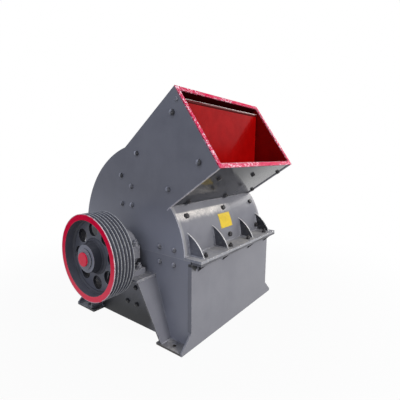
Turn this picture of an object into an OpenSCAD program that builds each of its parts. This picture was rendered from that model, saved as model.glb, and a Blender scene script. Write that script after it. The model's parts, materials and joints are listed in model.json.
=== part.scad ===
// Hammer crusher for stone.
// A welded plate housing with a raised feed chute stands on four feet. A hammer rotor
// runs in two split bearings on stands outside the housing, driven by a grooved pulley.
// X runs along the rotor shaft with the pulley at -X, the feed mouth faces -Y, Z is up.
// The origin is on the floor, below the middle of the shaft. All sizes are in millimetres.

/* [Housing] */
// Width over the outer faces of the side plates
housing_w = 1160; // [950:10:1400]
// Length over the front and rear plates of the lower half
base_l = 1258; // [1200:2:1500]
// Height of the shaft, where the housing splits in two
shaft_z = 646; // [640:2:780]
// Thickness of the side plates
side_t = 15; // [10:1:20]
// Thickness of the other housing plates
wall_t = 14; // [8:1:18]
// Outer radius of the front cover, about the shaft
cover_r = 556; // [546:1:580]
// Outer radius of the rear shell
rear_r = 754; // [735:1:800]
// How far the rear shell's centre lies in front of the shaft
rear_forward = 166; // [150:1:180]
// How far the rear shell's centre lies above the shaft
rear_up = 55; // [40:1:70]
// Gap round the shaft where it passes the side plates
shaft_hole_gap = 6; // [5:0.5:12]

/* [Feed chute] */
// How far the top edge of the mouth lies in front of the shaft
mouth_forward = 472; // [450:1:500]
// Height of the top edge of the mouth above the shaft
mouth_up = 1182; // [1120:1:1260]
// Length of the mouth, measured down its slope
mouth_l = 650; // [540:1:780]
// Slope of the chute floor
floor_a = 35; // [33:0.5:37]
// Slope of the chute roof
roof_a = 38; // [37:0.5:40]
// Thickness of the wear liners
liner_t = 18; // [12:1:22]
// Set-back of the floor plate between the side plates
floor_inset = 8; // [4:1:14]
// Width of the painted rim round the mouth
rim_w = 33; // [26:1:45]
// Depth of the painted rim
rim_d = 8; // [5:1:14]
// Gap between sloping plates that lie face to face
lap_gap = 0.1; // [0.05:0.05:0.5]

/* [Feed flap] */
// Distance from the mouth's top edge down to the flap rod
flap_down = 82; // [72:1:92]
// Distance from the mouth's face in to the flap rod
flap_in = 38; // [28:1:45]
// Length of the flap below its rod
flap_l = 470; // [380:1:500]
// Thickness of the flap
flap_t = 10; // [6:1:14]
// Diameter of the flap rod
flap_rod_d = 16; // [12:1:20]
// Outer diameter of the flap's hinge tubes
flap_tube_d = 26; // [24:1:34]
// Free gap at each side of the flap
flap_side_gap = 9; // [6:0.5:20]

/* [Flanges and gussets] */
// Thickness of each joint flange
flange_t = 18; // [12:1:24]
// Reach of the joint flanges beyond the lower front plate
flange_reach = 79; // [60:1:100]
// Height of the upper gussets
gusset_h = 160; // [110:1:180]
// Gap from the foot of an upper gusset to the flange's edge
gusset_edge = 28; // [20:1:60]
// Radius of the upper gussets' curved edge
gusset_r = 300; // [220:5:400]
// Height of the lower gussets
low_gusset_h = 68; // [40:1:90]
// Gap from the foot of a lower gusset to the flange's edge
low_gusset_edge = 6; // [3:1:20]
// Thickness of the gussets
gusset_t = 12; // [8:1:16]
// Distance of the inner gussets from the middle
gusset_x1 = 200; // [150:1:240]
// Distance of the outer gussets from the middle
gusset_x2 = 510; // [420:1:540]

/* [Feet and stands] */
// Reach of the feet beyond the side plates
foot_reach = 110; // [90:1:140]
// Length of each foot plate
foot_l = 231; // [200:1:260]
// Thickness of the foot plates
foot_t = 16; // [12:1:22]
// Diameter of the anchor bolt holes
anchor_d = 28; // [22:1:34]
// Distance of an anchor hole from the side plate
anchor_out = 60; // [45:1:75]
// Distance of an anchor hole from the end of the lower housing
anchor_in = 111; // [70:1:130]
// Height at which the end plates start to flare out to the feet
flare_z = 126; // [90:1:170]
// Height of the upright lip of the flare
flare_lip = 22; // [16:1:40]
// Width of the corner strips beside the end plates
strip_w = 33; // [20:1:50]
// Thickness of the corner strips
strip_t = 6; // [4:1:10]
// Thickness of the bearing stand's top plate
stand_t = 18; // [12:1:24]
// Reach of the stand's top plate beyond the side plate
stand_reach = 190; // [180:1:215]
// Length of the stand's top plate
stand_l = 560; // [500:2:620]
// Thickness of the stand legs
leg_t = 14; // [10:1:18]
// How far each leg spreads towards the foot at its bottom
leg_spread = 156; // [120:1:170]
// How far the leg's outer edge leans in at its bottom
leg_taper = 75; // [70:1:90]

/* [Bearings] */
// Height of the shaft above the stand
bearing_h = 162; // [158:1:200]
// Width of the bearing body along the shaft
bearing_w = 120; // [100:1:130]
// Outer radius of the bearing body
bearing_r = 155; // [140:1:158]
// Distance of the bearing's inner face from the side plate
bearing_gap = 57; // [40:1:65]
// Length of the bearing's foot
bearing_foot_l = 430; // [400:2:500]
// Thickness of the bearing's foot
bearing_foot_t = 46; // [30:1:55]
// How far the foot is wider than the body on each side
bearing_foot_lip = 10; // [4:1:12]
// Length over the ears at the bearing's split
bearing_ear_l = 338; // [320:2:380]
// Height of each ear
bearing_ear_h = 48; // [34:1:60]

/* [Rotor] */
// Shaft diameter between the side plates
shaft_core_d = 160; // [140:1:180]
// Shaft diameter in the bearings
shaft_brg_d = 130; // [115:1:138]
// Shaft diameter at its ends
shaft_end_d = 100; // [90:1:112]
// Radial running clearance in the bearings
run_gap = 0.05; // [0.02:0.01:0.1]
// Diameter over the hammer tips
rotor_d = 1000; // [800:5:1016]
// Diameter of the rotor discs
disc_d = 780; // [700:5:820]
// Thickness of the rotor discs
disc_t = 32; // [20:1:40]
// Number of rotor discs
disc_n = 6; // [4:1:7]
// Radius of the hammer pin circle
pin_circle_r = 300; // [280:1:320]
// Diameter of the hammer pins
pin_d = 50; // [40:1:56]
// Number of hammer pins
pin_n = 4; // [3:1:4]
// Width of a hammer across its swing
hammer_w = 120; // [90:1:150]
// Thickness of a hammer along the shaft
hammer_t = 100; // [70:1:110]
// Free room between the end discs and the liners
rotor_side_gap = 40; // [20:1:60]

/* [Pulley and flywheel] */
// Outer diameter of the pulley and the flywheel
pulley_d = 632; // [560:2:700]
// Width of the pulley
pulley_w = 169; // [150:1:190]
// Number of belt grooves
groove_n = 6; // [4:1:6]
// Distance between grooves
groove_pitch = 27; // [25.5:0.5:28]
// Width of a groove at its top
groove_top = 22; // [18:0.5:23]
// Width of a groove at its bottom
groove_bottom = 10; // [6:0.5:12]
// Depth of a groove
groove_depth = 20; // [14:1:24]
// Thickness of the pulley's rim
pulley_rim_t = 43; // [36:1:50]
// Set-back of the pulley's web from its face
web_in = 74; // [40:1:90]
// Thickness of the webs
web_t = 24; // [16:1:32]
// Number of holes in each web
web_hole_n = 8; // [6:1:8]
// Diameter of the web holes
web_hole_d = 104; // [60:1:108]
// Radius of the circle of web holes
web_hole_circle_r = 196; // [186:1:202]
// Turn of the first hole from straight back
web_hole_turn = -4; // [-22:1:22]
// Diameter of the hubs at their faces
hub_d = 200; // [180:1:220]
// How far the hubs widen towards the web
hub_flare = 16; // [0:1:20]
// How far the hubs stand out of their rims
hub_step = 3; // [0:1:10]
// Diameter of the raised ring on the hub's face
hub_ring_d = 146; // [130:1:160]
// Height of the raised ring
hub_ring_t = 8; // [4:1:14]
// Free gap from the bearing foot to the pulley
pulley_gap = 48; // [30:1:70]
// How far the shaft stands out of the hub ring
shaft_stub = 19; // [8:1:30]
// Width of the flywheel
flywheel_w = 120; // [90:1:150]
// Thickness of the flywheel's rim
flywheel_rim_t = 50; // [40:1:56]

/* [Sieve] */
// Gap from the hammer tips to the sieve
sieve_gap = 27; // [15:1:35]
// Depth of the sieve bars
bar_h = 38; // [25:1:42]
// Width of the sieve bars
bar_w = 26; // [16:1:30]
// Number of sieve bars
bar_n = 25; // [15:1:27]
// Angle that the sieve bars cover under the rotor
sieve_a = 134; // [110:1:140]
// Depth of the sieve carriers
carrier_h = 34; // [20:1:36]
// Thickness of the sieve carriers
carrier_t = 20; // [14:1:30]

/* [Label] */
// Width of the blank label plate
label_w = 168; // [120:1:200]
// Height of the blank label plate
label_h = 121; // [80:1:140]
// Angle of the label's middle above the shaft
label_a = 20; // [16:1:22]
// Thickness of the label plate
label_t = 1.5; // [1:0.5:3]

/* [Hidden] */
$fn = 96;

// Gap between a flat sieve bar and the round seat it rests on
seat_gap = 0.3;
// Length far beyond the part, for cutting
far = 4000;

side_x = housing_w / 2;
inner_x = side_x - side_t;
liner_x = inner_x - liner_t;
base_y = base_l / 2;
flange_y = base_y + flange_reach;

shaft_c = [0, shaft_z];
rear_c = [-rear_forward, shaft_z + rear_up];
mouth_top = [-mouth_forward, shaft_z + mouth_up];

// Unit vectors in the Y-Z plane: into the chute, down the mouth, down the roof
chute_in = [cos(floor_a), -sin(floor_a)];
mouth_down = [-sin(floor_a), -cos(floor_a)];
roof_in = [cos(roof_a), -sin(roof_a)];
roof_down = [-sin(roof_a), -cos(roof_a)];
mouth_bottom = mouth_top + mouth_l * mouth_down;
// Depth at which the plates behind the rim begin
rim_back = rim_d + lap_gap;
// Offset of the floor liner's back from the side plates' lower edge
floor_back = floor_inset + wall_t + lap_gap;

// Distance along a line from p in direction d to where it first meets a circle
function reach(p, d, c, r) = let (q = p - c, b = q * d) -b - sqrt(b * b - q * q + r * r);

floor_run = reach(mouth_bottom, chute_in, shaft_c, cover_r);
roof_run = reach(mouth_top, roof_in, rear_c, rear_r);
floor_end = mouth_bottom + floor_run * chute_in;
roof_end = mouth_top + roof_run * roof_in;
// Distance along the roof from its top edge to the back of the rim
roof_start = rim_back / cos(roof_a - floor_a);
shell_lap = 50;
roof_liner_end = roof_run - 90;

flap_pin = mouth_top + flap_down * mouth_down + flap_in * chute_in;
flap_x = liner_x - flap_side_gap;
// The hinge tube is in two lengths, which part at this place
tube_split_x = 0.54 * side_x;
tube_split_gap = 6;

bearing_x1 = side_x + bearing_gap;
bearing_x2 = bearing_x1 + bearing_w;
stand_z = shaft_z - bearing_h;
pulley_x1 = bearing_x2 + bearing_foot_lip + pulley_gap;
pulley_x2 = pulley_x1 + pulley_w;
hub_x2 = pulley_x2 + hub_step;
shaft_left = hub_x2 + hub_ring_t + shaft_stub;
flywheel_x2 = pulley_x1 + flywheel_w;
shaft_right = flywheel_x2 + hub_step + hub_ring_t + shaft_stub;

disc_x = liner_x - rotor_side_gap - disc_t / 2;
disc_step = 2 * disc_x / (disc_n - 1);
sieve_r = rotor_d / 2 + sieve_gap;
carrier_r = sieve_r + bar_h + seat_gap;

// ---- Helpers ----

// A profile drawn in the Y-Z plane, thick along X from x1 to x2
module along_x(x1, x2) {
  translate([x1, 0, 0]) rotate([90, 0, 90]) linear_extrude(x2 - x1) children();
}

// A profile drawn in the X-Z plane, thick along Y from y1 to y2
module along_y(y1, y2) {
  translate([0, y2, 0]) rotate([90, 0, 0]) linear_extrude(y2 - y1) children();
}

// A round bar along X
module bar_x(x1, x2, r, y = 0, z = shaft_z) {
  translate([x1, y, z]) rotate([0, 90, 0]) cylinder(r = r, h = x2 - x1);
}

module disc_at(c, r) {
  translate(c) circle(r, $fn = 288);
}

// Everything above a height, in the Y-Z plane
module above(z) {
  translate([-far / 2, z]) square([far, far]);
}

// A slab that starts s1 and ends s2 along d from p, between the offsets n1 and n2 along n
module slab(p, d, n, s1, s2, n1, n2) {
  polygon([
    p + s1 * d + n1 * n,
    p + s2 * d + n1 * n,
    p + s2 * d + n2 * n,
    p + s1 * d + n2 * n
  ]);
}

// The same node on the other side of the machine
module other_side() {
  mirror([1, 0, 0]) children();
}

module rear_half() {
  mirror([0, 1, 0]) children();
}

// ---- Lower housing ----

module lower_side() {
  color("dimgray") difference() {
    translate([-side_x, -base_y + wall_t, 0]) cube([side_t, base_l - 2 * wall_t, shaft_z]);
    bar_x(-side_x - 1, -inner_x + 1, shaft_core_d / 2 + shaft_hole_gap);
  }
}

module lower_end_plate() {
  foot_x = side_x + foot_reach;
  color("dimgray") along_y(-base_y, -base_y + wall_t) polygon([
    [-foot_x, 0], [foot_x, 0], [foot_x, flare_lip], [side_x, flare_z], [side_x, shaft_z],
    [-side_x, shaft_z], [-side_x, flare_z], [-foot_x, flare_lip]
  ]);
}

// Strips that cover the seams at the four upright corners
module corner_strips() {
  color("dimgray") for (x = [-side_x - strip_t, side_x], y = [-base_y, base_y - strip_w])
    translate([x, y, flare_z]) cube([strip_t, strip_w, shaft_z - flange_t - flare_z]);
}

module lower_flange() {
  color("dimgray") translate([-side_x, -flange_y, shaft_z - flange_t])
    cube([housing_w, flange_reach, flange_t]);
}

module lower_gussets() {
  top = shaft_z - flange_t;
  color("dimgray") for (x = [-gusset_x2, -gusset_x1, gusset_x1, gusset_x2])
    along_x(x - gusset_t / 2, x + gusset_t / 2) polygon([
      [-base_y, top], [-flange_y + low_gusset_edge, top], [-base_y, top - low_gusset_h]
    ]);
}

module foot_plates() {
  color("dimgray") for (s = [-1, 1]) difference() {
    translate([-side_x - foot_reach, s < 0 ? -base_y + wall_t : base_y - wall_t - foot_l, 0])
      cube([foot_reach, foot_l, foot_t]);
    translate([-side_x - anchor_out, s * (base_y - anchor_in), -1])
      cylinder(d = anchor_d, h = foot_t + 2);
  }
}

// ---- Bearing stands ----

module stand_top() {
  color("dimgray") translate([-side_x - stand_reach, -stand_l / 2, stand_z - stand_t])
    cube([stand_reach, stand_l, stand_t]);
}

module stand_legs() {
  top = stand_z - stand_t;
  outer = side_x + stand_reach - 10;
  y = stand_l / 2 - 4;
  color("dimgray") for (s = [0, 1]) mirror([0, s, 0]) intersection() {
    along_x(-outer - 1, -side_x) polygon([
      [-y, top], [-y - leg_spread, foot_t], [-y - leg_spread + leg_t, foot_t], [-y + leg_t, top]
    ]);
    along_y(-base_y, 0) polygon([
      [-outer, top], [-outer + leg_taper, foot_t], [-side_x, foot_t], [-side_x, top]
    ]);
  }
}

module bearing_half(up) {
  ear_y = bearing_ear_l / 2;
  color("dimgray") difference() {
    union() {
      intersection() {
        bar_x(-bearing_x2, -bearing_x1, bearing_r);
        translate([-bearing_x2, -bearing_r, up ? shaft_z : shaft_z - bearing_r])
          cube([bearing_w, 2 * bearing_r, bearing_r]);
      }
      translate([-bearing_x2, -ear_y, up ? shaft_z : shaft_z - bearing_ear_h])
        cube([bearing_w, bearing_ear_l, bearing_ear_h]);
      if (!up) translate([-bearing_x2 - bearing_foot_lip, -bearing_foot_l / 2, stand_z])
        cube([bearing_w + 2 * bearing_foot_lip, bearing_foot_l, bearing_foot_t]);
    }
    bar_x(-bearing_x2 - 1, -bearing_x1 + 1, shaft_brg_d / 2 + run_gap);
  }
}

// ---- Upper housing ----

module upper_side() {
  color("dimgray") difference() {
    union() {
      along_x(-side_x, -inner_x) polygon([
        mouth_top + roof_start * roof_in, roof_end, [roof_end[0], shaft_z], shaft_c,
        floor_end, mouth_bottom + rim_back * chute_in
      ]);
      along_x(-side_x, -inner_x) intersection() {
        disc_at(rear_c, rear_r);
        translate([0, shaft_z]) square([far, far]);
      }
      along_x(-side_x, -inner_x) intersection() {
        disc_at(shaft_c, cover_r);
        translate([-far, shaft_z]) square([far, far]);
      }
    }
    bar_x(-side_x - 1, -inner_x + 1, shaft_core_d / 2 + shaft_hole_gap);
    bar_x(-side_x - 1, -inner_x + 1, flap_rod_d / 2 + run_gap, flap_pin[0], flap_pin[1]);
  }
}

module front_cover() {
  color("gray") along_x(-inner_x, inner_x) difference() {
    disc_at(shaft_c, cover_r);
    disc_at(shaft_c, cover_r - wall_t);
    slab(mouth_bottom, chute_in, -mouth_down, 0, far, floor_inset, far);
    translate([0, 0]) square([far, far]);
    translate([-far / 2, shaft_z - far]) square([far, far]);
  }
}

module rear_shell() {
  color("dimgray") along_x(-inner_x, inner_x) difference() {
    disc_at(rear_c, rear_r);
    disc_at(rear_c, rear_r - wall_t);
    translate([roof_end[0] - shell_lap - far, 0]) square([far, far]);
    translate([-far / 2, shaft_z - far]) square([far, far]);
  }
}

module upper_front_flange() {
  color("dimgray") difference() {
    translate([-side_x, -flange_y, shaft_z]) cube([housing_w, flange_y, flange_t]);
    bar_x(-side_x - 1, side_x + 1, cover_r);
  }
}

module upper_rear_flange() {
  color("dimgray") difference() {
    translate([-side_x, 0, shaft_z]) cube([housing_w, flange_y, flange_t]);
    bar_x(-side_x - 1, side_x + 1, rear_r, rear_c[0], rear_c[1]);
  }
}

// Centre of the arc of radius r that bulges from a to b, on the side of the line that
// is to the right when one goes from a to b with s = 1, or to the left with s = -1
function arc_centre(a, b, r, s) = let (c = b - a, l = norm(c))
  (a + b) / 2 + s * [c[1], -c[0]] / l * sqrt(r * r - l * l / 4);

// A fin that stands on the flange against a round wall
module fin(wall_c, wall_r, s) {
  z = shaft_z + flange_t;
  tip_z = z + gusset_h;
  dz = tip_z - wall_c[1];
  tip = [wall_c[0] + s * sqrt(wall_r * wall_r - dz * dz), tip_z];
  toe = [s * (flange_y - gusset_edge), z];
  intersection() {
    difference() {
      disc_at(arc_centre(tip, toe, gusset_r, s), gusset_r);
      disc_at(wall_c, wall_r);
    }
    translate([s < 0 ? -flange_y : 0, z]) square([flange_y, gusset_h]);
  }
}

module front_gussets() {
  color("dimgray") for (x = [-gusset_x2, -gusset_x1, gusset_x1, gusset_x2])
    along_x(x - gusset_t / 2, x + gusset_t / 2) fin(shaft_c, cover_r, -1);
}

module rear_gussets() {
  color("dimgray") for (x = [-gusset_x2, -gusset_x1, gusset_x1, gusset_x2])
    along_x(x - gusset_t / 2, x + gusset_t / 2) fin(rear_c, rear_r, 1);
}

// ---- Feed chute ----

module chute_roof() {
  color("dimgray") along_x(-inner_x, inner_x) difference() {
    slab(mouth_top, roof_in, roof_down, roof_start, roof_run + shell_lap, 0, wall_t);
    disc_at(rear_c, rear_r);
    mouth_cut();
  }
}

// What lies in front of the back of the rim
module mouth_cut() {
  slab(mouth_top, chute_in, mouth_down, rim_back - far, rim_back, -far / 2, far / 2);
}

module chute_floor() {
  color("dimgray") along_x(-inner_x, inner_x) difference() {
    slab(mouth_bottom, chute_in, -mouth_down, rim_back, floor_run + 4 * wall_t,
         floor_inset, floor_inset + wall_t);
    disc_at(shaft_c, cover_r - wall_t);
  }
}

module mouth_rim() {
  color("crimson") translate([0, mouth_top[0], mouth_top[1]])
    rotate([-90 - floor_a, 0, 0]) linear_extrude(rim_d) difference() {
      translate([-side_x, 0]) square([housing_w, mouth_l]);
      translate([-side_x + rim_w, rim_w]) square([housing_w - 2 * rim_w, mouth_l - 2 * rim_w]);
    }
}

module roof_liner() {
  color("darkred") along_x(-inner_x, inner_x) difference() {
    slab(mouth_top, roof_in, roof_down, roof_start, roof_liner_end,
         wall_t + lap_gap, wall_t + liner_t);
    mouth_cut();
  }
}

module floor_liner() {
  color("darkred") along_x(-inner_x, inner_x) difference() {
    slab(mouth_bottom, chute_in, -mouth_down, rim_back, floor_run + 4 * wall_t,
         floor_back, floor_back + liner_t);
    disc_at(shaft_c, cover_r - wall_t);
  }
}

module side_liner() {
  // Offsets of this liner's edges, beside the roof liner and the floor liner
  roof_n = wall_t + liner_t + lap_gap;
  floor_n = floor_back + liner_t + lap_gap;
  chamber_r = cover_r - wall_t - 7;
  color("darkred") difference() {
    union() {
      along_x(-inner_x, -liner_x) difference() {
        polygon([
          mouth_top + roof_start * roof_in + roof_n * roof_down,
          mouth_top + roof_liner_end * roof_in + roof_n * roof_down,
          shaft_c,
          mouth_bottom + floor_run * chute_in - floor_n * mouth_down,
          mouth_bottom + rim_back * chute_in - floor_n * mouth_down
        ]);
        mouth_cut();
        slab(mouth_bottom, chute_in, -mouth_down, 0, floor_run + 4 * wall_t, 0, floor_n);
      }
      along_x(-inner_x, -liner_x) intersection() {
        disc_at(shaft_c, chamber_r);
        above(shaft_z);
      }
    }
    bar_x(-inner_x - 1, -liner_x + 1, shaft_core_d / 2 + shaft_hole_gap);
    bar_x(-inner_x - 1, -liner_x + 1, flap_rod_d / 2 + run_gap, flap_pin[0], flap_pin[1]);
  }
}

// ---- Feed flap ----

module flap_rod() {
  head_t = 10;
  head_r = flap_rod_d / 2 + 5;
  color("silver") union() {
    bar_x(-side_x - head_t, side_x + head_t, flap_rod_d / 2, flap_pin[0], flap_pin[1]);
    for (x = [-side_x - head_t, side_x])
      bar_x(x, x + head_t, head_r, flap_pin[0], flap_pin[1]);
  }
}

module feed_flap() {
  color("firebrick") difference() {
    union() {
      bar_x(-flap_x, tube_split_x, flap_tube_d / 2, flap_pin[0], flap_pin[1]);
      bar_x(tube_split_x + tube_split_gap, flap_x, flap_tube_d / 2, flap_pin[0], flap_pin[1]);
      translate([-flap_x, flap_pin[0] - flap_t / 2, flap_pin[1] - flap_l])
        cube([2 * flap_x, flap_t, flap_l - flap_rod_d / 2 - 2]);
    }
    bar_x(-flap_x - 1, flap_x + 1, flap_rod_d / 2 + run_gap, flap_pin[0], flap_pin[1]);
  }
}

// ---- Rotor ----

module shaft() {
  color("silver") union() {
    bar_x(-side_x - 20, side_x + 20, shaft_core_d / 2);
    bar_x(-pulley_x1 + 4, pulley_x1 - 4, shaft_brg_d / 2);
    bar_x(-shaft_left, shaft_right, shaft_end_d / 2);
  }
}

// A wheel turned about the shaft from a profile of radius and distance from the machine
module turned(x0) {
  translate([x0, 0, shaft_z]) rotate([0, -90, 0]) rotate_extrude() children();
}

module web_holes(x1, x2) {
  for (i = [0 : web_hole_n - 1]) let (a = web_hole_turn + i * 360 / web_hole_n)
    bar_x(x1, x2, web_hole_d / 2, web_hole_circle_r * cos(a),
          shaft_z + web_hole_circle_r * sin(a));
}

module wheel_body(w, rim_t, web_at) {
  r = pulley_d / 2;
  bore = shaft_end_d / 2;
  hub = hub_d / 2;
  foot = hub + hub_flare;
  union() {
    translate([r - rim_t, 0]) square([rim_t, w]);
    translate([bore, web_at]) square([r - rim_t / 2 - bore, web_t]);
    polygon([
      [bore, 0], [hub, 0], [foot, web_at], [foot, web_at + web_t], [hub, w + hub_step],
      [bore, w + hub_step]
    ]);
    translate([bore, w + hub_step]) square([(hub_ring_d - shaft_end_d) / 2, hub_ring_t]);
  }
}

module pulley() {
  r = pulley_d / 2;
  first = (pulley_w - (groove_n - 1) * groove_pitch) / 2;
  color("dimgray") difference() {
    turned(-pulley_x1) difference() {
      wheel_body(pulley_w, pulley_rim_t, pulley_w - web_in - web_t);
      for (i = [0 : groove_n - 1]) let (c = first + i * groove_pitch) polygon([
        [r + 1, c - groove_top / 2], [r, c - groove_top / 2],
        [r - groove_depth, c - groove_bottom / 2], [r - groove_depth, c + groove_bottom / 2],
        [r, c + groove_top / 2], [r + 1, c + groove_top / 2]
      ]);
    }
    web_holes(-pulley_x2 - 1, -pulley_x1 + 1);
  }
}

module flywheel() {
  color("dimgray") other_side() difference() {
    turned(-pulley_x1) wheel_body(flywheel_w, flywheel_rim_t, (flywheel_w - web_t) / 2);
    web_holes(-flywheel_x2 - 1, -pulley_x1 + 1);
  }
}

module pin_row(x1, x2) {
  for (i = [0 : pin_n - 1]) let (a = 45 + i * 360 / pin_n)
    bar_x(x1, x2, pin_d / 2, pin_circle_r * cos(a), shaft_z + pin_circle_r * sin(a));
}

module rotor_discs() {
  color("slategray") for (i = [0 : disc_n - 1]) let (x = -disc_x + i * disc_step) difference() {
    bar_x(x - disc_t / 2, x + disc_t / 2, disc_d / 2);
    bar_x(x - disc_t, x + disc_t, shaft_core_d / 2);
    pin_row(x - disc_t, x + disc_t);
  }
}

module hammer_pins() {
  end = disc_x + disc_t / 2 + 12;
  color("silver") pin_row(-end, end);
}

module hammers() {
  back = 55;
  color("dimgray") for (k = [0 : disc_n - 2], i = [0 : pin_n - 1])
    let (x = -disc_x + (k + 0.5) * disc_step)
      translate([x - hammer_t / 2, 0, shaft_z]) rotate([45 + i * 360 / pin_n, 0, 0])
        difference() {
          intersection() {
            translate([0, pin_circle_r - back, -hammer_w / 2])
              cube([hammer_t, rotor_d, hammer_w]);
            rotate([0, 90, 0]) cylinder(d = rotor_d, h = hammer_t);
          }
          translate([-1, pin_circle_r, 0]) rotate([0, 90, 0])
            cylinder(d = pin_d, h = hammer_t + 2);
        }
}

// ---- Sieve ----

module sieve_bars() {
  color("gray") for (i = [0 : bar_n - 1])
    let (a = -90 - sieve_a / 2 + i * sieve_a / (bar_n - 1))
      translate([-inner_x, 0, shaft_z]) rotate([a, 0, 0])
        translate([0, sieve_r, -bar_w / 2]) cube([2 * inner_x, bar_h, bar_w]);
}

module sieve_carriers() {
  a = 90 - sieve_a / 2 - 2;
  out = [cos(a), -sin(a)] * far;
  color("dimgray") for (x = [-inner_x, inner_x - carrier_t])
    along_x(x, x + carrier_t) intersection() {
      difference() {
        disc_at(shaft_c, carrier_r + carrier_h);
        disc_at(shaft_c, carrier_r);
      }
      polygon([shaft_c, shaft_c + out, [out[0], -far], [-out[0], -far],
               shaft_c + [-out[0], out[1]]]);
    }
}

// ---- Label ----

module label_plate() {
  a = label_h / cover_r * 90 / PI;
  color("gold") along_x(-label_w / 2 - 5, label_w / 2 - 5) intersection() {
    difference() {
      disc_at(shaft_c, cover_r + label_t);
      disc_at(shaft_c, cover_r);
    }
    polygon([
      shaft_c,
      shaft_c + far * [-cos(label_a - a), sin(label_a - a)],
      shaft_c + far * [-cos(label_a + a), sin(label_a + a)]
    ]);
  }
}

lower_side();  // lower_side_left
other_side() lower_side();  // lower_side_right
lower_end_plate();  // lower_front_plate
rear_half() lower_end_plate();  // lower_rear_plate
corner_strips();
lower_flange();  // lower_front_flange
rear_half() lower_flange();  // lower_rear_flange
foot_plates();  // foot_plates_left
other_side() foot_plates();  // foot_plates_right
stand_top();  // stand_top_left
other_side() stand_top();  // stand_top_right
stand_legs();  // stand_legs_left
other_side() stand_legs();  // stand_legs_right
bearing_half(false);  // bearing_base_left
other_side() bearing_half(false);  // bearing_base_right
bearing_half(true);  // bearing_cap_left
other_side() bearing_half(true);  // bearing_cap_right
upper_side();  // upper_side_left
other_side() upper_side();  // upper_side_right
front_cover();
rear_shell();
upper_front_flange();
upper_rear_flange();
front_gussets();
rear_gussets();
lower_gussets();  // lower_front_gussets
rear_half() lower_gussets();  // lower_rear_gussets
chute_roof();
chute_floor();
mouth_rim();
side_liner();  // side_liner_left
other_side() side_liner();  // side_liner_right
roof_liner();
floor_liner();
flap_rod();
sieve_bars();
sieve_carriers();
label_plate();
feed_flap();
shaft();
pulley();
flywheel();
rotor_discs();
hammer_pins();
hammers();
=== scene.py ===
"""Looks of a hammer crusher, built round its packed frame and laid out as a Blender add-on.

The frame gives every plate, casting and rotor piece. The operators below paint them and add
the bolts, studs, cast fillets and weld beads, then set out the stage."""
import json
import math
from functools import partial

import bpy
import numpy as np
from bpy.props import FloatProperty, FloatVectorProperty, IntProperty, PointerProperty
from mathutils import Matrix, Vector


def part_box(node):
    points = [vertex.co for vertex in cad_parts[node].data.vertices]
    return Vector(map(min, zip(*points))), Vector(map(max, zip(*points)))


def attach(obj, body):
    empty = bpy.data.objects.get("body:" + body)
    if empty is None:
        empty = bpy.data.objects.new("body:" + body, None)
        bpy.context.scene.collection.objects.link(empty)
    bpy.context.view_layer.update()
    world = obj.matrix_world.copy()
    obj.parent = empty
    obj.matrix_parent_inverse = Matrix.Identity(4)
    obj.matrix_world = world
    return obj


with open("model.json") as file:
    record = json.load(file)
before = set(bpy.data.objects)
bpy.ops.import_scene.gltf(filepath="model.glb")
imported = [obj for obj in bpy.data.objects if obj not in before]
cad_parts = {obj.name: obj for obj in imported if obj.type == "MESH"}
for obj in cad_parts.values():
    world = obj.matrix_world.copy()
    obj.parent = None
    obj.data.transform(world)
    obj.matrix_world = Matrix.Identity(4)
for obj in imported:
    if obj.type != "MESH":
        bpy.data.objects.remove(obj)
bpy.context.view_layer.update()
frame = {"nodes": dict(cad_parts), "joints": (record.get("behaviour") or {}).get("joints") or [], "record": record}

bl_info = {
    "name": "Hammer crusher looks",
    "version": (1, 0, 0),
    "blender": (4, 5, 0),
    "location": "View3D > Sidebar > Crusher",
    "description": "Paint, fastenings, welds and stage for a hammer crusher",
    "category": "Object",
}

TAU = 2.0 * math.pi


def low(node):
    return np.array(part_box(node)[0])


def high(node):
    return np.array(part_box(node)[1])


def unit(v):
    v = np.asarray(v, float)
    return v / np.linalg.norm(v, axis=-1, keepdims=True)


# ---- places, in metres

SIDE_X = high("upper_side_right")[0]
INNER_X = high("chute_floor")[0]
SHAFT_Z = low("upper_side_left")[2]
SHAFT = np.array([0, 0, SHAFT_Z])
SHAFT_END_X = low("shaft")[0] + 0.009
FLANGE_TOP, FLANGE_BOTTOM = high("upper_front_flange")[2], low("lower_front_flange")[2]
END_Y = -low("lower_front_plate")[1]
STAND_Z, STAND_UNDER_Z = high("stand_top_left")[2], low("stand_top_left")[2]

# The two round walls over the rotor, with their centres, radii and sides
COVER_R = -low("front_cover")[1]
REAR_R = 0.754
REAR_CENTRE = np.array([0.0, high("rear_shell")[1] - REAR_R, SHAFT_Z + 0.055])
WALLS = (SHAFT, COVER_R, -1.0), (REAR_CENTRE, REAR_R, 1.0)

# The wheels: outer radius, faces, rim thickness, and how far in the webs lie
PULLEY_R = high("pulley")[1]
PULLEY_FACE_X, FLYWHEEL_FACE_X = low("pulley")[0] + 0.011, high("flywheel")[0] - 0.011
PULLEY_RIM, FLYWHEEL_RIM = 0.043, 0.05
PULLEY_WEB_IN, FLYWHEEL_WEB_IN = 0.074, 0.048
WEB_T, HUB_R = 0.024, 0.114

# The chute: ways in along its sloping plates and out from them, and its lower and upper lip
FLOOR_A, ROOF_A = math.radians(35.0), math.radians(38.0)
IN_FLOOR = np.array([0.0, math.cos(FLOOR_A), -math.sin(FLOOR_A)])
OUT_FLOOR = np.array([0.0, -math.sin(FLOOR_A), -math.cos(FLOOR_A)])
IN_ROOF = np.array([0.0, math.cos(ROOF_A), -math.sin(ROOF_A)])
OUT_ROOF = np.array([0.0, math.sin(ROOF_A), math.cos(ROOF_A)])
RIM_D, FLOOR_SINK = 0.008, 0.008
LIP = low("mouth_rim") * [0, 1, 1] + [0, 0, RIM_D * math.sin(FLOOR_A)]
CREST = high("mouth_rim") * [0, 1, 1] - [0, RIM_D * math.cos(FLOOR_A), 0]

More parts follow.
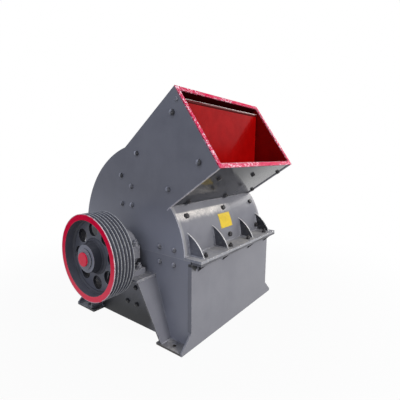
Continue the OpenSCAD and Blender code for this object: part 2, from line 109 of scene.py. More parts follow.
# The flap's pin, its tube's radius, and the way that the tube's bare line faces: worn metal and a painted
# highlight
FLAP_PIN = next(j for j in frame["joints"] if j["name"] == "feed_flap")["pos_m"]
TUBE_R = 0.013
BARE_LINE_WAY = unit([0.0, -0.66, 0.75])

# Middles of the side bolts as (y, z), the two large ones by the mouth first
SIDE_BOLTS = [(-0.45, 1.654), (-0.678, 1.325), (-0.09, 1.381), (0.095, 1.207), (-0.022, 1.127),
              (-0.41, 1.132), (0.091, 0.983), (-0.026, 0.982), (-0.321, 0.701), (-0.465, 0.7),
              (-0.323, 0.588), (-0.462, 0.589), (-0.049, 0.306), (0.055, 0.167), (-0.057, 0.165)]
# Middles of the chute's bolts as (x, distance in from the lip or the crest)
FLOOR_BOLTS = [(-0.405, 0.147), (0.075, 0.143), (0.54, 0.135),
               (-0.405, 0.475), (0.108, 0.482), (0.543, 0.448)]
ROOF_BOLTS = [(x, s) for s in (0.15, 0.47) for x in (-0.41, 0.06, 0.495)]
FLANGE_BOLT_X = (-0.472, -0.139, 0.142, 0.444)
SMALL_BOLT = 0.83
# Middles of the gussets, and their faces: where each is and the way that it points
GUSSET_X = (-0.51, -0.2, 0.2, 0.51)
GUSSET_FACES = [(x + side * 0.006, side) for x in GUSSET_X for side in (-1.0, 1.0)]
# The stand on the left: legs' outer faces at top and foot, and the foot plate's top and ends
LEG_TOP_Y, LEG_FOOT_Y, LEG_T = 0.276, 0.432, 0.014
FOOT_Z, FOOT_INNER_Y, FOOT_OUTER_Y = 0.016, 0.384, 0.615


def floor_end():
    """Where the chute floor's outer face meets the cover: the nearer root of the quadratic that
    puts a point on the line in from the lip at the cover's radius from the shaft."""
    rel = LIP - SHAFT
    b = rel @ IN_FLOOR
    return LIP + IN_FLOOR * (-b - math.sqrt(b * b - rel @ rel + COVER_R ** 2))


FLOOR_END = floor_end()

# ---- settings


def setting(kind, **fixed):
    """A maker of settings of one kind, from a name, a description and a default."""
    def make(name, description, default, **more):
        return kind(name=name, description=description, default=default, **{**fixed, **more})
    return make


colour = setting(FloatVectorProperty, subtype="COLOR", size=3, min=0.0, max=1.0)
length = setting(FloatProperty, unit="LENGTH", min=0.001)
angle = setting(FloatProperty, subtype="ANGLE")
number = setting(FloatProperty, min=0.0)


class CrusherColours(bpy.types.PropertyGroup):
    """Colours of the finishes."""

    enamel: colour("Enamel", "Dark grey enamel of the plates", (0.134, 0.136, 0.158))
    enamel_pale: colour("Pale enamel", "The enamel where it has chalked", (0.162, 0.164, 0.185))
    red: colour("Red", "Signal red of the rim and the pulley's face", (0.6, 0.002, 0.034))
    oxide: colour("Red oxide", "Red primer on the inside", (0.245, 0.001, 0.001))
    steel: colour("Bare steel", "Steel where the paint has gone", (0.56, 0.545, 0.53))
    dust: colour("Dust", "Stone dust that has settled", (0.43, 0.415, 0.39))
    label: colour("Label yellow", "Enamel of the blank label plate", (0.56, 0.4, 0.024))


class CrusherHardware(bpy.types.PropertyGroup):
    """Sizes of the bolts and nuts."""

    across_flats: length("Across flats", "Width of a bolt head over its flats", 0.036, min=0.01)
    head: length("Head height", "Height of a bolt head", 0.02, min=0.004)
    washer: length("Washer radius", "Outer radius of a washer", 0.022, min=0.01)
    washer_t: length("Washer thickness", "Thickness of a washer", 0.004)
    stud: length("Thread radius", "Radius of a bolt's thread", 0.012, min=0.004)
    sides: IntProperty(name="Steps round a bolt", min=12, default=36,
                       description="Points round a bolt head, a multiple of six")


class CrusherWelds(bpy.types.PropertyGroup):
    """Sizes of the weld beads."""

    leg: length("Leg", "Leg of a fillet weld", 0.006, min=0.002)
    ripple: length("Ripple pitch", "Distance between a bead's ripples", 0.007, min=0.002)


class CrusherStage(bpy.types.PropertyGroup):
    """Camera, lamps and floor."""

    eye: FloatVectorProperty(name="Camera place", description="Where the camera stands", size=3,
                             subtype="TRANSLATION", default=(-2.1929, -1.9167, 1.3754))
    lens: number("Lens", "Focal length in mm, where the frame is 36 mm wide", 28.31)
    yaw: angle("Yaw", "Turn of the view from +Y, anticlockwise", -0.921)
    pitch: angle("Pitch", "Tilt of the view above level", -0.1436)
    roll: angle("Roll", "Turn of the view about its own axis", 0.0087)
    sky: number("Sky", "Strength of the light from all round", 0.55)
    key: number("Key lamp", "Watts of the key lamp", 345.0)
    rear: number("Rear lamp", "Watts of the lamp at the rear left", 16.0)
    top: number("Top lamp", "Watts of the far lamp at the upper left", 110.0)
    fill: number("Fill lamps", "Watts of the fill lamp, half the back lamp's", 26.0)
    glint: number("Glint lamp", "Watts of the lamp that the cover mirrors", 60.0)
    floor: number("Floor", "Brightness of the floor", 0.28, max=1.0)
    veil: number("Floor veil", "Share of plain white in the floor near by", 0.95, max=1.0)


# ---- meshes


def new_piece(name, shape, material, slot="plate_paint", body="housing", crease=32.0):
    """A mesh object from points and faces, smooth but for edges sharper than crease degrees."""
    verts, faces = shape
    mesh = bpy.data.meshes.new(name)
    mesh.from_pydata(verts.tolist(), [], faces)
    mesh.polygons.foreach_set("use_smooth", np.ones(len(mesh.polygons), bool))
    mesh.update()
    mesh.set_sharp_from_angle(angle=math.radians(crease))
    piece = bpy.data.objects.new(name, mesh)
    bpy.context.scene.collection.objects.link(piece)
    mesh.materials.append(bpy.data.materials[material])
    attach(piece, body)


def new_pair(name, left, *settings, **more):
    """A piece on the left and its mirror image on the right, whose faces still point out."""
    xyz, faces = left
    new_piece(name + "_left", left, *settings, **more)
    new_piece(name + "_right", (xyz * [-1, 1, 1], [f[::-1] for f in faces]), *settings, **more)


def grid_faces(rows, cols, ring=False):
    """Quads between the points of a rows by cols grid, numbered row by row, whose columns close
    on themselves, and whose rows do if it's a ring. If not, a face covers each end."""
    i, j = np.meshgrid(np.arange(rows if ring else rows - 1), np.arange(cols), indexing="ij")
    below, beyond = (i + 1) % rows, (j + 1) % cols
    quads = [i * cols + j, i * cols + beyond, below * cols + beyond, below * cols + j]
    faces = np.stack(quads, -1).reshape(-1, 4).tolist()
    ends = [list(range(cols))[::-1], list(range((rows - 1) * cols, rows * cols))]
    return faces if ring else faces + ends


def stacked(rings, steps, size=1.0):
    """A closed upright shape from rings, bottom first. Each is a radius and a height, or one of
    either for each turn angle."""
    rings = np.array([[np.broadcast_to(v, steps) for v in ring] for ring in rings]) * size
    turn = np.arange(steps) * TAU / steps
    radii, heights = rings[:, 0], rings[:, 1]
    xyz = np.stack([radii * np.cos(turn), radii * np.sin(turn), heights], -1)
    return xyz.reshape(-1, 3), grid_faces(*radii.shape)


def hexagon(hw):
    """A bolt head's radius at each turn angle: half of its width over the cosine of the angle's
    distance from the nearest flat."""
    turn = np.arange(hw.sides) * TAU / hw.sides
    off = (turn + math.pi / 6) % (math.pi / 3) - math.pi / 6
    return hw.across_flats / 2 / np.cos(off)


def bolt_shape(hw, stud_out=0.0, washer=True, size=1.0):
    """Washer, hexagon and, if stud_out is more than 0, the thread's end above the nut. The
    hexagon's top is coned: its corners come down by 0.58 for each unit that they stand out."""
    base = hw.washer_t if washer else 0.0
    top = base + hw.head
    side = hexagon(hw)
    cone = np.minimum(side, hw.across_flats / 2 * 0.97)
    rings = [(side, base), (side, top - (side - cone) * 0.58), (cone, top)]
    if washer:
        rings = [(hw.washer, -0.001), (hw.washer, base - 0.0008), (hw.washer - 0.0008, base),
                 *rings]
    if stud_out > 0:
        end = top + stud_out
        rings += [(hw.stud, top), (hw.stud, end - 0.002), (hw.stud - 0.002, end)]
    else:
        rings.append((hw.across_flats * 0.4, top + 0.0003))
    return stacked(rings, hw.sides, size)


def crowned_head(hw, size=1.0):
    """A painted-over hexagon head with a crown: hexagon sides up to 0.3 of its height, then
    rings no wider than the root of one minus 0.96 of the square of the share left above."""
    up = np.array([0.0, 0.3, 0.5, 0.66, 0.8, 0.91, 1.0])[:, None]
    side, share = hexagon(hw), np.clip((up - 0.3) / 0.7, 0, 1)
    crown = hw.across_flats / 2 * np.sqrt(1 - 0.96 * share ** 2)
    radii = np.where(share > 0, np.minimum(side, crown), side)
    return stacked(zip(radii, up * hw.head), hw.sides, size)


def repeated(shape, places, normals):
    """The shape copied to each place with its height along the normal there. Each copy is
    turned by the golden angle more than the last, so hexagons don't line up."""
    xyz, faces = shape
    places = np.asarray(places, float)
    n = unit(np.broadcast_to(normals, places.shape))
    helper = np.where(np.abs(n[:, :1]) > 0.9, [[0, 1.0, 0]], [[1.0, 0, 0]])
    u = unit(np.cross(helper, n))
    v = np.cross(n, u)
    spin = np.arange(len(places)) * 2.399963
    c, s = np.cos(spin)[:, None], np.sin(spin)[:, None]
    axes = np.stack([u * c + v * s, v * c - u * s, n], 1)
    pts = places[:, None] + np.einsum("pa,kac->kpc", xyz, axes)
    all_faces = [[k + i * len(xyz) for k in f] for i in range(len(places)) for f in faces]
    return pts.reshape(-1, 3), all_faces


def joined(shapes):
    """One list of points and one of faces from several."""
    verts, faces, start = [], [], 0
    for xyz, fs in shapes:
        verts.append(xyz)
        faces += [[k + start for k in f] for f in fs]
        start += len(xyz)
    return np.concatenate(verts), faces


def turned_ring(profile, x_dir, steps=128):
    """A closed ring turned about the shaft's axis. The profile is a closed loop of (radius,
    distance along x_dir), and the point at turn t is the axis plus the radius times
    (cosine t, sine t) in the Y-Z plane."""
    r, h = profile.T
    t = (np.arange(steps) * TAU / steps)[:, None]
    xyz = np.stack([x_dir * h + 0 * t, r * np.cos(t), SHAFT_Z + r * np.sin(t)], -1)
    faces = grid_faces(steps, len(r), ring=True)
    area = np.sum(r * np.roll(h, -1) - np.roll(r, -1) * h)
    if area * x_dir > 0:
        faces = [f[::-1] for f in faces]
    return xyz.reshape(-1, 3), faces


def bead_shape(path, side_a, side_b, leg, ripple):
    """A fillet weld along a path in a corner. The cross-section at each point is the corner
    itself and an arc from leg times side_a to leg times side_b, hollow by a tenth. The leg
    swells and shrinks with a sine of the length along the path, later in the middle of the arc
    than at its toes, so the ripples are crescents."""
    path = np.asarray(path, float)
    a, b = (np.broadcast_to(unit(side), path.shape) for side in (side_a, side_b))
    along = np.concatenate([[0], np.cumsum(np.linalg.norm(np.diff(path, axis=0), axis=1))])
    end = along[-1]
    s = np.linspace(0, end, max(3, int(end / ripple * 4)))
    p, a, b = (np.stack([np.interp(s, along, axis) for axis in q.T], -1) for q in (path, a, b))
    s, t = s[:, None], np.linspace(0, 1, 6)
    middle = 4 * t * (1 - t)
    wave = np.sin(TAU * (s / ripple + 0.35 * middle) + 0.7 * np.sin(s * 31))
    slow = 0.09 * np.sin(s * 23.0 + 1.3) + 0.05 * np.sin(s * 61.0)
    ends = np.clip(np.minimum(s, end - s) / leg, 0.25, 1) ** 0.5
    fat = (1 - 0.1 * np.sin(t * math.pi)) * leg * (1 + 0.1 * wave * middle + slow) * ends
    wa, wb = np.cos(t * math.pi / 2), np.sin(t * math.pi / 2)
    arc = p[:, None] + a[:, None] * (wa * fat)[..., None] + b[:, None] * (wb * fat)[..., None]
    xyz = np.concatenate([arc, (p - 0.0005 * (a + b))[:, None]], 1)
    faces = grid_faces(*xyz.shape[:2])
    if np.dot(np.cross(a[0], b[0]), path[1] - path[0]) < 0:
        faces = [f[::-1] for f in faces]
    return xyz.reshape(-1, 3), faces


# ---- node trees


def math_node(operation, swapped=False):
    """A method that makes a math node from a value and another."""
    def method(self, other=0.5):
        return self.tree.math(operation, *((other, self) if swapped else (self, other)))
    return method


class Value:
    """A node's output. Sums, products and the like make math nodes: a comparison is 1 where it
    holds and 0 elsewhere, and a | b is the greater of the two."""

    def __init__(self, tree, socket):
        self.tree, self.socket = tree, socket

    __add__, __sub__, __mul__, __truediv__ = map(
        math_node, ("ADD", "SUBTRACT", "MULTIPLY", "DIVIDE"))
    __lt__, __gt__, __or__, __abs__ = map(
        math_node, ("LESS_THAN", "GREATER_THAN", "MAXIMUM", "ABSOLUTE"))
    __rsub__ = math_node("SUBTRACT", swapped=True)

    def scaled(self, gain, base):
        """The value times the gain, plus the base."""
        return self.tree.math("MULTIPLY_ADD", self, gain, base)

    def ramp(self, low, high, smooth=True):
        """0 at low and 1 at high, in an S curve or a straight line."""
        return self.tree.add("MapRange", {"Value": self, "From Min": low, "From Max": high},
                             interpolation_type="SMOOTHSTEP" if smooth else "LINEAR")


def rgba(colour, gain=1.0):
    """A colour with its alpha, made brighter by the gain. A value stays as it is."""
    return colour if isinstance(colour, Value) else (*[c * gain for c in colour[:3]], 1.0)


class Tree:
    """Short words for making nodes in a tree, or in a material's or the world's, emptied."""

    def __init__(self, owner):
        self.tree = owner
        if hasattr(owner, "node_tree"):
            owner.use_nodes = True
            self.tree = owner.node_tree
            self.tree.nodes.clear()

    def put(self, socket, value):
        """Links the input to a value, or sets it to a constant."""
        if isinstance(value, Value):
            self.tree.links.new(value.socket, socket)
        else:
            socket.default_value = value

    def new(self, kind, inputs=None, **settings):
        node = self.tree.nodes.new("ShaderNode" + kind)
        for key, value in settings.items():
            setattr(node, key, value)
        for key, value in (inputs or {}).items():
            self.put(node.inputs[key], value)
        return node

    def add(self, kind, inputs=None, out=0, **settings):
        """One output of a new node."""
        return Value(self, self.new(kind, inputs, **settings).outputs[out])

    def math(self, operation, a, b=0.5, c=0.5, clamp=False):
        return self.add("Math", {0: a, 1: b, 2: c}, operation=operation, use_clamp=clamp)

    def vector(self, operation, a, b=(0, 0, 0)):
        """The result of a vector operation, a number for a dot product or a length."""
        out = 1 if operation in ("DOT_PRODUCT", "LENGTH") else 0
        return self.add("VectorMath", {0: a, 1: b}, out, operation=operation)

    def place(self):
        return self.add("TexCoord", out="Object")

    def stretched(self, *scale):
        """The place, scaled by a number for each axis."""
        return self.add("Mapping", {"Vector": self.place(), "Scale": scale})

    def noise(self, scale, detail=5.0, rough=0.65, where=None):
        return self.add("TexNoise", {"Vector": where or self.place(), "Scale": scale,
                                     "Detail": detail, "Roughness": rough})

    def xyz(self, vector=None):
        node = self.new("SeparateXYZ", {0: vector or self.place()})
        return [Value(self, socket) for socket in node.outputs]

    def normal(self, kind="True Normal"):
        return self.xyz(self.add("NewGeometry", out=kind))

    def away(self, y, z):
        """Distance of (y, z) from nought."""
        return self.vector("LENGTH", self.add("CombineXYZ", {1: y, 2: z}))

    def mix(self, share, a, b):
        """Colour a where the share is 0 and b where it is 1."""
        return self.add("Mix", {0: share, 6: rgba(a), 7: rgba(b)}, 2, data_type="RGBA")

    def blend(self, share, a, b):
        """Number a where the share is 0 and b where it is 1."""
        return self.add("Mix", {0: share, 2: a, 3: b}, data_type="FLOAT")

    def seen(self):
        """1 on rays that the camera sends, straight or through glass."""
        return self.add("LightPath", out="Is Camera Ray") | self.add(
            "LightPath", out="Is Transmission Ray")


# ---- shared effects, as groups


def mottle(t, size):
    """Broad patches from two noises, and a fine grain."""
    at = t.add("VectorMath", {0: t.place(), "Scale": size}, operation="SCALE")
    both = t.noise(7.5, 4.0, 0.6, at).scaled(0.45, t.noise(2.1, 3.0, 0.5, at) * 0.55)
    return {"Broad": both.ramp(0.36, 0.64), "Fine": t.noise(95.0, 3.0, 0.6, at)}


def rounded_edge(t, radius, wear):
    """A normal rounded over edges, and bare metal where it turns away from the face's own."""
    bevel = t.add("Bevel", {"Radius": radius}, samples=6)
    turn = 1.0 - t.vector("DOT_PRODUCT", bevel, t.add("NewGeometry", out="Normal"))
    level = 1.0 - wear * t.noise(46.0).ramp(0.3, 0.62)
    return {"Bare": t.math("SUBTRACT", turn.ramp(0.02, 0.1), level, clamp=True),
            "Normal": bevel}


def settled_dust(t, amount):
    """Patchy dust, thicker on faces that lie more level."""
    cloud = t.noise(11.0, 6.0, 0.7).ramp(0.28, 0.72)
    top = t.normal("Normal")[2].ramp(0.25, 0.98)
    return {"Mask": t.math("MULTIPLY", top * cloud, amount, clamp=True)}


def run_marks(t, amount):
    """Streaks down the paint: noise drawn out along Z."""
    streak = t.noise(1.0, 4.0, 0.6, t.stretched(26.0, 26.0, 1.6)).ramp(0.52, 0.78)
    return {"Mask": t.math("MULTIPLY", streak, amount, clamp=True)}


def line_wear(t, point, across, width):
    """A ragged line: nearer to a plane through the point than the width times a noise."""
    away = t.vector("DOT_PRODUCT", t.vector("SUBTRACT", t.place(), point), across)
    return {"Mask": abs(away) < width * t.noise(38.0, 6.0, 0.7).ramp(0.28, 0.6)}


def scuffs(t, size, cover):
    """Chips that take up more of the face the greater the cover is."""
    both = t.noise(size * 3.7, 4.0, 0.6).scaled(0.35, t.noise(size, 6.0, 0.72) * 0.65)
    edge = 0.72 - cover * 0.3
    return {"Mask": both.ramp(edge, edge + 0.04)}


EFFECTS = {
    "Mottle": (mottle, {"Size": 1.0}),
    "Rounded edge": (rounded_edge, {"Radius": 0.003, "Wear": 0.5}),
    "Settled dust": (settled_dust, {"Amount": 0.5}),
    "Run marks": (run_marks, {"Amount": 0.5}),
    "Line wear": (line_wear, {"Point": (0, 0, 0), "Across": (0, 0, 1), "Width": 0.01}),
    "Scuffs": (scuffs, {"Size": 60.0, "Cover": 0.3}),
}


def new_group(name, build, inputs):
    """A shader group with these inputs and their defaults, whose outputs build gives."""
    tree = bpy.data.node_groups.new(name, "ShaderNodeTree")
    t = Tree(tree)

    def socket(label, side, is_vector):
        kind = "NodeSocketVector" if is_vector else "NodeSocketFloat"
        return tree.interface.new_socket(name=label, in_out=side, socket_type=kind)

    for label, default in inputs.items():
        socket(label, "INPUT", isinstance(default, tuple)).default_value = default
    start = tree.nodes.new("NodeGroupInput")
    made = build(t, *[Value(t, start.outputs[label]) for label in inputs])
    for label, value in made.items():
        socket(label, "OUTPUT", value.socket.type == "VECTOR")
    end = tree.nodes.new("NodeGroupOutput")
    for label, value in made.items():
        t.put(end.inputs[label], value)


# ---- finishes


class Look(Tree):
    """A new material: its nodes, and its colour, roughness, bare metal and coat so far."""

    def __init__(self, name):
        self.material = bpy.data.materials.new(name)
        super().__init__(self.material)
        self.col = bpy.context.scene.crusher_colours
        self.coat, self.rounded = 0.0, {}

    def effect(self, name, **inputs):
        node = self.new("Group", inputs, node_tree=bpy.data.node_groups[name])
        return [Value(self, socket) for socket in node.outputs]

    def mask(self, name, **inputs):
        return self.effect(name, **inputs)[0]

    def chips(self, size, cover):
        return self.mask("Scuffs", Size=size, Cover=cover)

    def base(self, size, dark, pale):
        """Two tones mottled together. Gives the broad and the fine pattern."""
        broad, fine = self.effect("Mottle", Size=size)
        self.colour = self.mix(broad, dark, pale)
        return broad, fine

    def edges(self, radius, wear):
        """Rounds the edges, and bares the metal where they have worn."""
        self.bare, self.rounded["Normal"] = self.effect("Rounded edge", Radius=radius, Wear=wear)

    def over(self, colour, mask):
        """Lays a colour over what there is."""
        self.colour = self.mix(mask, self.colour, colour)

    def dull(self, mask, rough):
        self.roughness = self.blend(mask, self.roughness, rough)

    def finish(self, roughness, bump, metal=0.0, shine=0.5, coat_rough=0.03):
        strength, distance, height = bump
        bump = self.add("Bump", {"Strength": strength, "Distance": distance, "Height": height,
                                 **self.rounded})
        shader = self.add("BsdfPrincipled", {
            "Base Color": self.colour, "Roughness": roughness, "Metallic": metal,
            "Specular IOR Level": shine, "Coat Weight": self.coat,
            "Coat Roughness": coat_rough, "Normal": bump})
        self.new("OutputMaterial", {0: shader})
        return self.material


def enamel(name, *extras, dark=None, pale=None, rough=0.36, peel=0.25, wear=0.5,
           radius=0.0025, dust=0.25, runs=0.12, grain=1.0, shine=0.5, coat_rough=0.3):
    """Enamel in two mottled tones with faint runs, the extras, dust on level faces, steel where
    edges have rubbed, and orange peel."""
    t = Look(name)
    dark, pale = dark or t.col.enamel, pale or t.col.enamel_pale
    broad, fine = t.base(grain, dark, pale)
    t.edges(radius, wear)
    t.over(rgba(pale, 1.25), t.mask("Run marks", Amount=runs))
    t.roughness = t.blend(broad, rough, rough + 0.1)
    for extra in extras:
        extra(t)
    dusty = t.mask("Settled dust", Amount=dust)
    t.over(t.col.dust, dusty)
    t.over(t.col.steel, t.bare)
    t.dull(dusty, 0.85)
    return t.finish(t.roughness, (peel, 0.0015, broad.scaled(0.6, fine * 0.4)), t.bare * 0.6,
                    shine, coat_rough)


def belt_film(t):
    """Painted shadow of the wheels: a soft black disc behind them, darkest on the pulley's side."""
    x, y, z = t.xyz()
    cloud = t.noise(6.0, 4.0, 0.6).scaled(0.1, -0.05)
    mask = (t.away(y - 0.5, z - (SHAFT_Z - 0.23)) + cloud).ramp(0.34, 0.3)
    t.over((0.01, 0.01, 0.012), mask * (x < 0.0).scaled(0.6, 0.34))


def side_lines(t):
    """Painted light that makes the plate paler low down, the painted shadow of the wheels, chips along the halves'
    joint, and a pale ragged line along the chute's lower edge.
    """
    x, y, z = t.xyz()
    # Painted light: paler towards the floor.
    t.over(rgba(t.col.enamel_pale, 1.62), z.ramp(1.15, 0.72) * 0.85)
    # Painted shadow of the wheels.
    belt_film(t)
    seam = t.mask("Line wear", Point=(0, 0, SHAFT_Z), Across=(0, 0, 1), Width=0.003)
    t.over(t.col.dust, seam * 0.4)
    slope = t.mask("Line wear", Point=LIP, Across=OUT_FLOOR, Width=0.0065)
    t.over((0.5, 0.47, 0.49), slope * (y < FLOOR_END[1] + 0.03) * 0.75)


def side_grease(t):
    """Painted light that makes the lower side plates paler all over, the painted shadow of the wheels, and painted
    shade below the bearings, darker downwards.
    """
    x, y, z = t.xyz()
    cloud = t.noise(5.0, 4.0, 0.6).scaled(0.16, -0.08)
    mask = z.scaled(0.42, y + cloud).ramp(-0.34, -0.16) * (z + cloud).ramp(0.48, 0.06)
    # Painted light: paler all over.
    t.over(rgba(t.col.enamel_pale, 1.52), 0.75)
    # Painted shadow of the wheels.
    belt_film(t)
    # Painted shade low down, near black, more on the pulley's side.
    t.over((0.012, 0.013, 0.014), mask * (x < 0.0).scaled(0.46, 0.5))
    t.dull(mask, 0.55)


def cover_dust(t):
    """Pale dust and a painted highlight along the top of the cover, on the pulley's side, drawn down in runs by
    rain, and along its two ends."""
    x, y, z = t.xyz()
    streak = t.noise(1.0, where=t.stretched(34.0, 5.0, 5.0))
    low_edge = streak.scaled(0.05, z).ramp(SHAFT_Z + 0.268, SHAFT_Z + 0.318)
    top_edge = z.ramp(SHAFT_Z + 0.318, SHAFT_Z + 0.306)
    across = streak.scaled(0.2, x).ramp(0.26, 0.06)
    grain = t.noise(90.0, 6.0, 0.75).ramp(0.36, 0.56) * t.noise(22.0).ramp(0.3, 0.62)
    mask = low_edge * top_edge * across * grain.scaled(0.62, 0.38)
    # Paler along the two ends: dust and painted light.
    t.over(t.col.dust, (abs(x) > INNER_X - 0.018) * 0.25)
    # The band along the top: pale dust and a painted highlight.
    t.over((0.66, 0.63, 0.6), mask)
    t.dull(mask, 0.6)


def pulley_paint(t):
    """Lands rubbed bright between grooves darkened by painted shade, painted shade in the recess, on the hub, the
    walls of the holes and the back, a boss made pale by painted light with painted shade on its flank, and the red
    front of the rim, lighter low down by painted light and scuffed to its undercoat."""
    x, y, z = t.xyz()
    radius = t.away(y, z - SHAFT_Z)
    rim_r = PULLEY_R - PULLEY_RIM
    belt_end = x < 0.0
    outer = belt_end * (radius > rim_r - 0.0015)
    deep = belt_end * (radius < rim_r - 0.0005) * (x > PULLEY_FACE_X + 0.004)
    hub = deep * (radius < HUB_R + 0.01)
    # Painted shade in the recess, darkest on the hub.
    t.over((0.024, 0.025, 0.031), hub.scaled(0.62, deep * 0.12))
    web_back = PULLEY_FACE_X + PULLEY_WEB_IN + WEB_T
    behind = belt_end * (radius < rim_r + 0.001) * (x > web_back - 0.002)
    # Painted shade on the back, seen through the web's holes.
    t.over((0.007, 0.007, 0.009), behind * 0.85)
    flank = abs(t.normal()[0]) < 0.5
    web = (radius > HUB_R + 0.022) * (radius < rim_r - 0.019)
    # Painted shade on the walls of the web's holes.
    t.over((0.01, 0.01, 0.012), flank * web * 0.85)
    boss = belt_end * (radius < HUB_R + 0.011) * (x < PULLEY_FACE_X + 0.004)
    # Painted light on the boss's face, and painted shade on its flank.
    t.over(rgba(t.col.enamel_pale, 1.45), boss * 0.85)
    t.over((0.012, 0.012, 0.015), boss * flank * 0.8)
    # Painted shade down in the grooves.
    t.over((0.04, 0.041, 0.046), outer * radius.ramp(PULLEY_R - 0.002, PULLEY_R - 0.012) * 0.3)
    land = radius.ramp(PULLEY_R - 0.003, PULLEY_R - 0.0006)
    t.over((0.27, 0.28, 0.285), outer * land * t.noise(55.0).ramp(0.3, 0.58) * 0.75)

    face = outer * (x < PULLEY_FACE_X + 0.0012)
    red = t.mix(t.mask("Mottle", Size=3.0), rgba(t.col.red, 1.36), rgba(t.col.red, 1.14))
    # Painted light: the red lighter low down.
    red = t.mix(z.ramp(SHAFT_Z + 0.2, SHAFT_Z - 0.25) * 0.85, red, (1.0, 0.1, 0.14))
    chips = t.chips(42.0, 0.22)
    t.over(t.mix(chips * 0.55, red, (0.7, 0.26, 0.3)), face)
    edge = belt_end * (radius > PULLEY_R - 0.0045) * (x < PULLEY_FACE_X + 0.0045)
    t.over((0.66, 0.52, 0.56), edge * t.noise(24.0).ramp(0.32, 0.54) * 0.85)
    t.dull(face, 0.6)
    t.bare *= 0.6
    t.coat = (1.0 - face) * 0.35


def edge_faces(axis, broad, tone, share, with_grime_and_shade=False):
    """Patches of another tone on a plate's broad faces, whose normal along the axis is over 0.6, or else on its
    narrow ones. With the last argument set, brown near the floor, as grime and painted contact shade."""
    def extra(t):
        along = abs(t.normal()[axis])
        mask = along > 0.6 if broad else along < 0.6
        patch = t.noise(34.0).ramp(0.25, 0.55)
        t.over(tone, mask * patch * share)
        if with_grime_and_shade:
            # Brown near the floor: grime and painted contact shade.
            grime_and_contact_shade = patch.scaled(-0.012, t.xyz()[2]).ramp(0.016, 0.000)
            t.over((0.045, 0.036, 0.026), grime_and_contact_shade * 0.65)
    return extra


def corner_soot(t):
    """Painted shadow under the ends of the flanges: a triangle that hangs from each, 55 mm tall and 60 mm to each
    side of its tip."""
    tip_x, tall, wide = 0.545, 0.055, 0.06
    x, y, z = t.xyz()
    side = abs(abs(x) - tip_x) / wide
    rise = (z - (FLANGE_BOTTOM - tall)) / tall
    mask = (rise - side).ramp(-0.1, 0.05) * (abs(y) > END_Y - 0.03)
    t.over((0.012, 0.012, 0.013), mask * 0.92)


def gusset_shade(t):
    """Painted shade on the fins' faces towards the pulley, darker along the machine."""
    share = t.xyz()[0].ramp(GUSSET_X[0], GUSSET_X[-1], smooth=False) * 0.82
    t.over((0.003, 0.003, 0.004), (t.normal()[0] < -0.6) * share)


def rear_oil(t):
    """Painted shadow towards the rear, under the wheels."""
    cloud = t.noise(14.0, 4.0, 0.6).scaled(0.1, t.xyz()[1])
    t.over((0.018, 0.02, 0.026), cloud.ramp(0.2, 0.45) * 0.8)


def underside_film(t):
    """Gloss that a film of dust dulls towards the pulley's side."""
    t.coat = t.xyz()[0].ramp(-0.3, 0.42).scaled(0.54, 0.36)


def greasy_low(t):
    """Painted shade on the side bolts: black on their front flanks, and all over low down."""
    z = t.xyz()[2]
    front = t.normal("Normal")[1].ramp(0.05, -0.45)
    mask = z.ramp(0.4, 0.36) | front * z.ramp(1.05, 1.25).scaled(0.25, 0.7)
    t.over((0.012, 0.012, 0.014), mask)
    t.bare *= 1.0 - mask


def rubbed_tube(t):
    """The flap's hinge tube, dark with grease and painted shade, with a bare line along its top that is worn metal
    and a painted highlight: where the distance from the pin's axis along the line's way is nearly the tube's
    radius."""
    rel = t.vector("SUBTRACT", t.place(), (0.0, *FLAP_PIN[1:]))
    out = t.vector("DOT_PRODUCT", rel, BARE_LINE_WAY)
    line = out + t.noise(40.0) * 0.0007 > TUBE_R + 0.0002
    x, y, z = t.xyz(rel)
    tube = t.away(y, z) < TUBE_R + 0.0015
    # Grease and painted shade on the tube.
    t.over((0.035, 0.006, 0.006), tube * 0.8)
    # Bare metal along the top: wear and a painted highlight.
    t.bare = t.bare * (1.0 - tube) | line * tube


def rim():
    """Red rim paint, knocked through to pink undercoat and bright steel along its edges."""
    t = Look("Rim red")
    crimson = (*t.col.red[:2], t.col.red[2] * 1.9)
    t.base(2.5, rgba(crimson, 0.68), rgba(crimson, 0.56))
    t.edges(0.0025, 1.0)
    chips = t.chips(20.0, 0.6)
    patch = t.noise(5.5, 3.0, 0.6).ramp(0.37, 0.53)
    specks = t.chips(52.0, 0.66) * patch | t.chips(120.0, 0.62) * 0.35
    t.over((0.42, 0.024, 0.11), chips * 0.55)
    t.over((0.68, 0.52, 0.6), specks * 0.95)
    t.over((0.62, 0.48, 0.52), t.bare * 0.85)
    return t.finish(t.blend(chips, 0.45, 0.7), (0.5, 0.001, chips), shine=0.03)


def inside(name, gain, coat, flap=False):
    """Red primer with drifts of dust, scratched along the way the stone slides. The flap's has a tube with grease,
    wear, painted shade and a painted highlight, and no worn edges, and its coat fades downwards."""
    t = Look(name)
    broad, fine = t.base(1.6, rgba(t.col.oxide, gain), rgba(t.col.oxide, gain * 0.8))
    t.edges(0.003, 0.0 if flap else 0.6)
    scratch = t.noise(1.0, 5.0, 0.7, t.stretched(60.0, 3.0, 3.0)).ramp(0.62, 0.74)
    t.over(rgba((0.33, 0.004, 0.004), gain), scratch * 0.2)
    t.over(rgba((0.42, 0.22, 0.19), gain), t.mask("Settled dust", Amount=0.5) * 0.3)
    t.coat = coat
    if flap:
        rubbed_tube(t)
        t.coat = t.xyz()[2].ramp(1.34, 1.52) * coat
    t.over((0.74, 0.66, 0.64), t.bare)
    return t.finish(t.blend(broad, 0.5, 0.6), (0.25, 0.001, fine), t.bare * 0.2, 0.03, 0.05)


